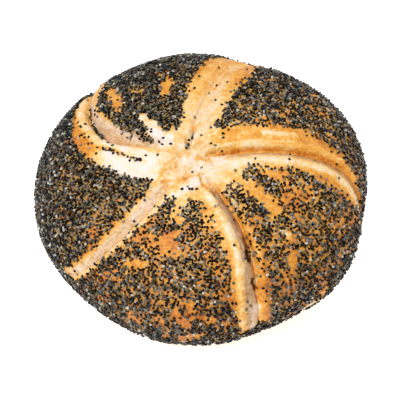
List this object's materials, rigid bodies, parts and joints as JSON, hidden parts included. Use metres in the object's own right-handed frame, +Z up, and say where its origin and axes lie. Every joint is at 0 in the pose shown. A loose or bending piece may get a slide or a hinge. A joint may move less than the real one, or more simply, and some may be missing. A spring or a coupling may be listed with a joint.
{
  "type": "bread roll",
  "caption": "Round bread roll with a flat underside and a domed top, swirled into lobes by curved creases and covered with poppy seeds.",
  "frame": {"origin": "centre of the bounding box at the flat underside", "axes": "+Z up, out of the domed top; -Y is the side nearest to the viewer in the usual view; +X to the viewer's right"},
  "size_m": [0.1058, 0.1056, 0.046],
  "materials": {
    "crust": "golden baked crust, pale where torn, with dark poppy seeds"
  },
  "bodies": {
    "root": {"roll": "crust"}
  },
  "joints": []
}
